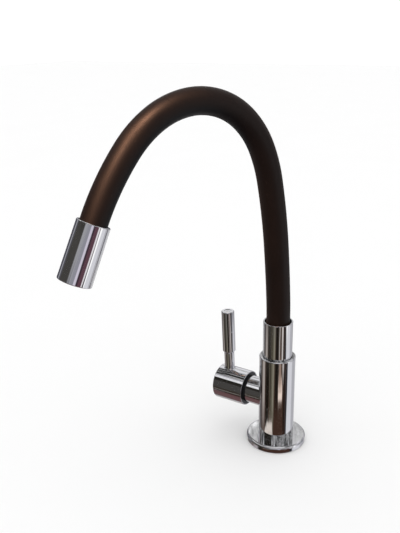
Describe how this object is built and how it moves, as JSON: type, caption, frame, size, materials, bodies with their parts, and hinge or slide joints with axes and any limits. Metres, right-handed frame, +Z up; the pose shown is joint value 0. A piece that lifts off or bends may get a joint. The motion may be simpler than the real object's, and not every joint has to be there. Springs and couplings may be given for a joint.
{
  "type": "flexible kitchen faucet",
  "caption": "Single-lever kitchen faucet with a bendable silicone-sleeved neck, chrome body, side lever and slim outlet head",
  "frame": {"origin": "centre of the deck face, on the axis of the upright body, under the base gasket", "axes": "+Z up along the body; -X along the side branch that carries the lever; -Y towards the user"},
  "size_m": [0.1261, 0.2153, 0.4031],
  "materials": {
    "chrome": "polished chrome plate",
    "brass": "machined",
    "black_rubber": "moulded, matte",
    "silicone": "smooth matte silicone, near black with a brown sheen",
    "black_plastic": "moulded, satin",
    "white_plastic": "moulded, matte",
    "ceramic_disc": "lapped",
    "steel": "brushed",
    "hose_plastic": "smooth, translucent grey"
  },
  "bodies": {
    "faucet_base": {"base_flange": "chrome", "base_gasket": "black_rubber", "inlet_shank": "brass", "deck_washer": "black_rubber", "shank_nut": "brass", "body_shell": "chrome", "seat_seal": "black_rubber", "fixed_disc": "ceramic_disc", "cartridge_body": "brass", "cartridge_o_ring": "black_rubber", "bearing_ring": "black_plastic", "slip_washer": "white_plastic", "swivel_screw": "steel"},
    "handle": {"handle_hub": "chrome", "lever_rod": "chrome", "handle_screw": "steel", "spindle": "brass", "spindle_o_ring": "black_rubber", "moving_disc": "ceramic_disc"},
    "spout_foot": {"swivel_stem": "brass", "stem_o_rings": "black_rubber", "collar": "chrome", "lower_ferrule": "steel", "neck_sleeve_0": "silicone", "neck_armature_0": "steel", "neck_hose_0": "hose_plastic"},
    "neck_1": {"neck_sleeve_1": "silicone", "neck_armature_1": "steel", "neck_hose_1": "hose_plastic"},
    "neck_2": {"neck_sleeve_2": "silicone", "neck_armature_2": "steel", "neck_hose_2": "hose_plastic"},
    "neck_3": {"neck_sleeve_3": "silicone", "neck_armature_3": "steel", "neck_hose_3": "hose_plastic"},
    "neck_4": {"neck_sleeve_4": "silicone", "neck_armature_4": "steel", "neck_hose_4": "hose_plastic"},
    "neck_5": {"neck_sleeve_5": "silicone", "neck_armature_5": "steel", "neck_hose_5": "hose_plastic"},
    "neck_6": {"neck_sleeve_6": "silicone", "neck_armature_6": "steel", "neck_hose_6": "hose_plastic"},
    "neck_7": {"neck_sleeve_7": "silicone", "neck_armature_7": "steel", "neck_hose_7": "hose_plastic"},
    "neck_8": {"neck_sleeve_8": "silicone", "neck_armature_8": "steel", "neck_hose_8": "hose_plastic"},
    "outlet_head": {"neck_sleeve_9": "silicone", "neck_armature_9": "steel", "neck_hose_9": "hose_plastic", "head_ferrule": "steel", "head_nipple": "brass", "head_shell": "chrome", "aerator_washer": "black_rubber", "aerator_screen": "steel", "aerator_core": "white_plastic", "aerator_housing": "chrome"}
  },
  "joints": [
    {"name": "lever_turn", "type": "hinge", "parent": "faucet_base", "child": "handle", "pos_m": [-0.052, 0, 0.0458], "axis": [1, 0, 0], "range_deg": [0, 90]},
    {"name": "spout_swivel", "type": "hinge", "parent": "faucet_base", "child": "spout_foot", "pos_m": [0, 0, 0.1], "axis": [0, 0, 1], "continuous": true},
    {"name": "neck_bend_1", "type": "hinge", "parent": "spout_foot", "child": "neck_1", "pos_m": [-0.00028, -0.00059, 0.14999], "axis": [0.9003, -0.4352, 0], "range_deg": [-12, 10]},
    {"name": "neck_bend_2", "type": "hinge", "parent": "neck_1", "child": "neck_2", "pos_m": [-0.0018, -0.00373, 0.19986], "axis": [0.9003, -0.4352, 0], "range_deg": [-12, 10]},
    {"name": "neck_bend_3", "type": "hinge", "parent": "neck_2", "child": "neck_3", "pos_m": [-0.00543, -0.01124, 0.25925], "axis": [0.9003, -0.4352, 0], "range_deg": [-16, 6]},
    {"name": "neck_bend_4", "type": "hinge", "parent": "neck_3", "child": "neck_4", "pos_m": [-0.00935, -0.01935, 0.2878], "axis": [0.9003, -0.4352, 0], "range_deg": [-16, 6]},
    {"name": "neck_bend_5", "type": "hinge", "parent": "neck_4", "child": "neck_5", "pos_m": [-0.0168, -0.03474, 0.31223], "axis": [0.9003, -0.4352, 0], "range_deg": [-16, 6]},
    {"name": "neck_bend_6", "type": "hinge", "parent": "neck_5", "child": "neck_6", "pos_m": [-0.02794, -0.0578, 0.32731], "axis": [0.9003, -0.4352, 0], "range_deg": [-16, 6]},
    {"name": "neck_bend_7", "type": "hinge", "parent": "neck_6", "child": "neck_7", "pos_m": [-0.04086, -0.08452, 0.32926], "axis": [0.9003, -0.4352, 0], "range_deg": [-16, 6]},
    {"name": "neck_bend_8", "type": "hinge", "parent": "neck_7", "child": "neck_8", "pos_m": [-0.05294, -0.10951, 0.31846], "axis": [0.9003, -0.4352, 0], "range_deg": [-16, 6]},
    {"name": "neck_bend_9", "type": "hinge", "parent": "neck_8", "child": "outlet_head", "pos_m": [-0.06256, -0.12942, 0.29838], "axis": [0.9003, -0.4352, 0], "range_deg": [-16, 6]}
  ],
  "couplings": [
    {"joint": "neck_bend_2", "follows": "neck_bend_1", "ratio": 1},
    {"joint": "neck_bend_4", "follows": "neck_bend_3", "ratio": 1},
    {"joint": "neck_bend_5", "follows": "neck_bend_3", "ratio": 1},
    {"joint": "neck_bend_6", "follows": "neck_bend_3", "ratio": 1},
    {"joint": "neck_bend_7", "follows": "neck_bend_3", "ratio": 1},
    {"joint": "neck_bend_8", "follows": "neck_bend_3", "ratio": 1},
    {"joint": "neck_bend_9", "follows": "neck_bend_3", "ratio": 1}
  ]
}
